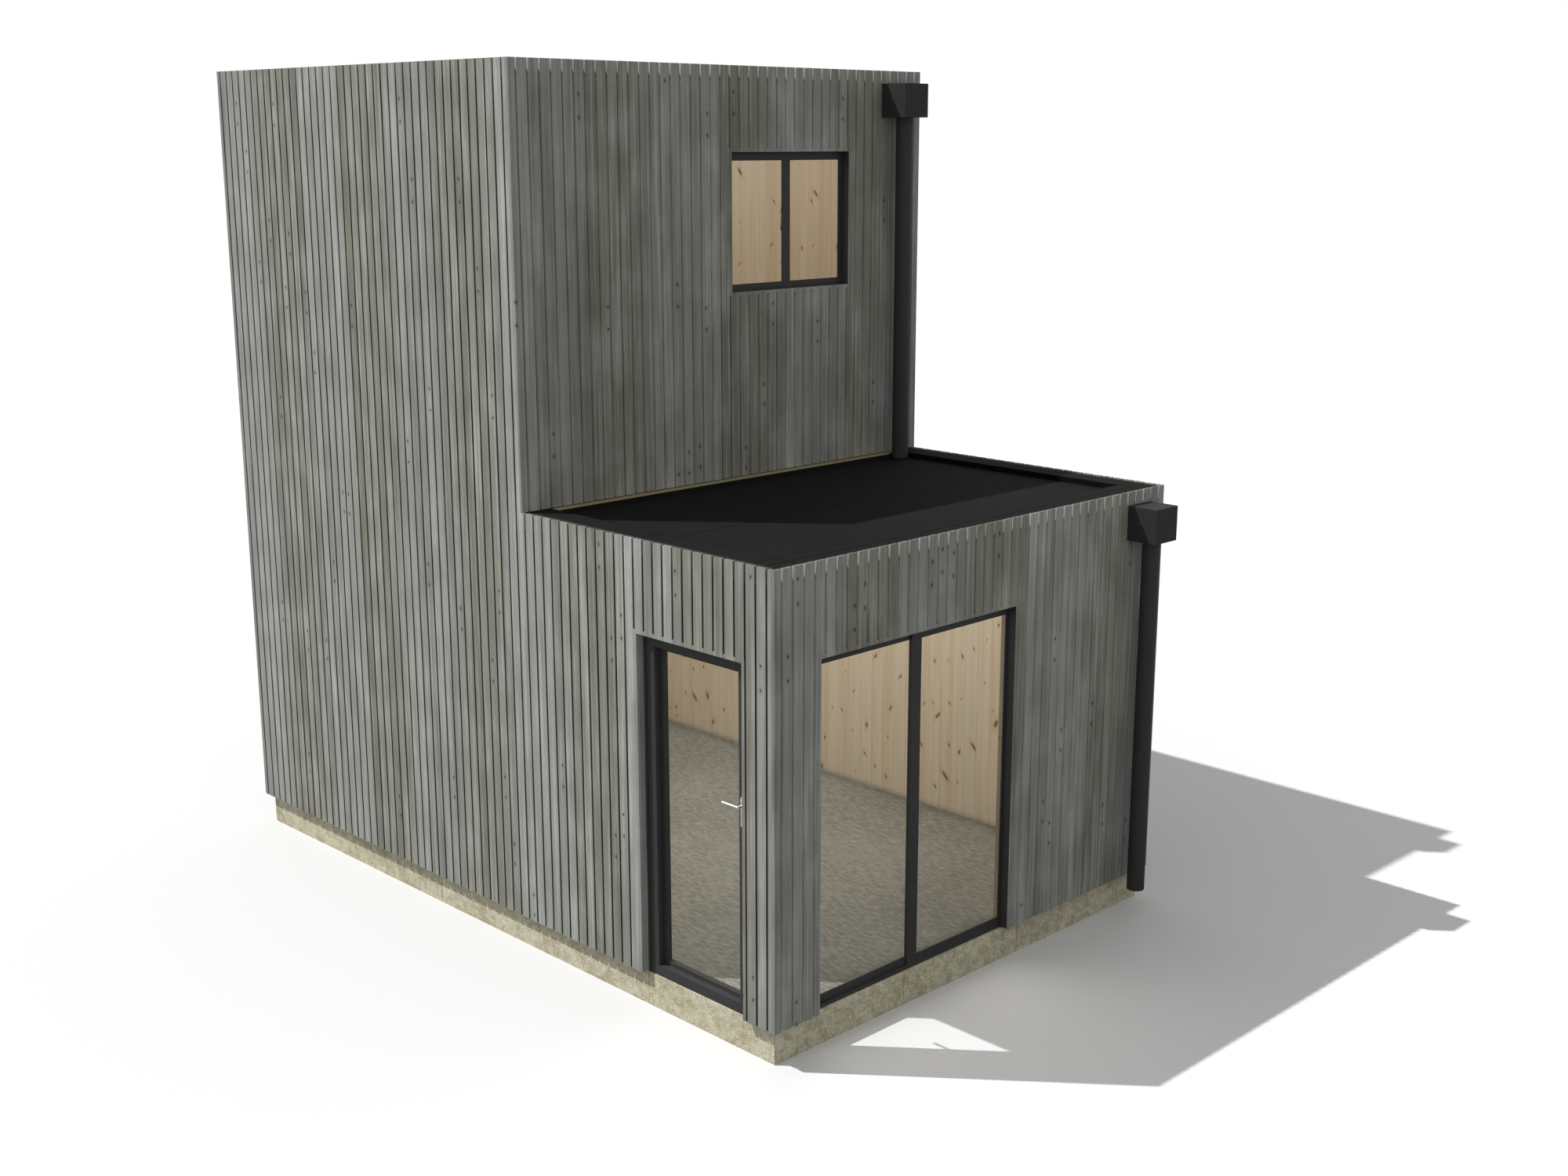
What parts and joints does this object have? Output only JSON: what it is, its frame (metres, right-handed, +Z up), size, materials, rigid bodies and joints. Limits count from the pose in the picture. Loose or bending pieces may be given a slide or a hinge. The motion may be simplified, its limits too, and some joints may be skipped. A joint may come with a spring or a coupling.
{
  "type": "garden office pod with a single-storey room and a two-storey block",
  "caption": "Flat-roofed timber garden pod: a low room in front of a two-storey block, vertical slats, stone plinth, glazed side door, wide front window.",
  "frame": {"origin": "on the ground, under the middle of the plan box that the walls and the lower rainwater hopper fill", "axes": "+Z up, the wide window and the rainwater pipes face -Y, the door is in the -X wall, the two-storey block is at +Y"},
  "size_m": [3.655, 5.924, 5.669],
  "materials": {
    "stone_plinth": "rough mottled beige stone facing",
    "floor": "matt grey-beige floor finish",
    "pine_panel": "planed knotty pine panel",
    "grey_cladding": "weathered grey sawn timber",
    "roof_membrane": "matt black roofing membrane",
    "kerb_board": "khaki board edge",
    "black_frames": "satin black powder coat",
    "clear_glass": "clear glass",
    "satin_steel": "satin stainless steel",
    "black_rainwater": "matt black coated steel"
  },
  "bodies": {
    "root": {"plinth_front": "stone_plinth", "plinth_back": "stone_plinth", "plinth_left": "stone_plinth", "plinth_right": "stone_plinth", "floor_slab": "floor", "front_wall": "pine_panel", "left_wall_pier": "pine_panel", "left_wall_head": "pine_panel", "left_wall": "pine_panel", "right_wall": "pine_panel", "back_wall": "pine_panel", "upper_front_wall": "pine_panel", "upper_left_wall": "pine_panel", "upper_right_wall": "pine_panel", "upper_back_wall": "pine_panel", "upper_floor": "pine_panel", "low_roof_deck": "pine_panel", "high_roof_deck": "pine_panel", "low_roof_membrane": "roof_membrane", "high_roof_membrane": "roof_membrane", "roof_kerb": "kerb_board", "front_cladding": "grey_cladding", "left_cladding_pier": "grey_cladding", "left_cladding_head": "grey_cladding", "left_cladding_low": "grey_cladding", "left_cladding_tall": "grey_cladding", "right_cladding_low": "grey_cladding", "right_cladding_tall": "grey_cladding", "back_cladding": "grey_cladding", "upper_front_cladding": "grey_cladding", "door_casing": "grey_cladding", "door_frame": "black_frames", "frame_hinges": "satin_steel", "window_casing": "grey_cladding", "window_frame": "black_frames", "window_glass": "clear_glass", "upper_window_casing": "grey_cladding", "upper_window_frame": "black_frames", "upper_window_glass": "clear_glass", "upper_window_handle": "satin_steel", "lower_hopper": "black_rainwater", "upper_hopper": "black_rainwater", "lower_downpipe": "black_rainwater", "upper_downpipe": "black_rainwater"},
    "door": {"door_leaf": "black_frames", "door_glass": "clear_glass", "door_handle": "satin_steel", "leaf_hinges": "satin_steel"}
  },
  "joints": [
    {"name": "door_hinge", "type": "hinge", "parent": "root", "child": "door", "pos_m": [-1.6825, -1.589, 1.225], "axis": [0, 0, 1], "range_deg": [0, 100]}
  ]
}
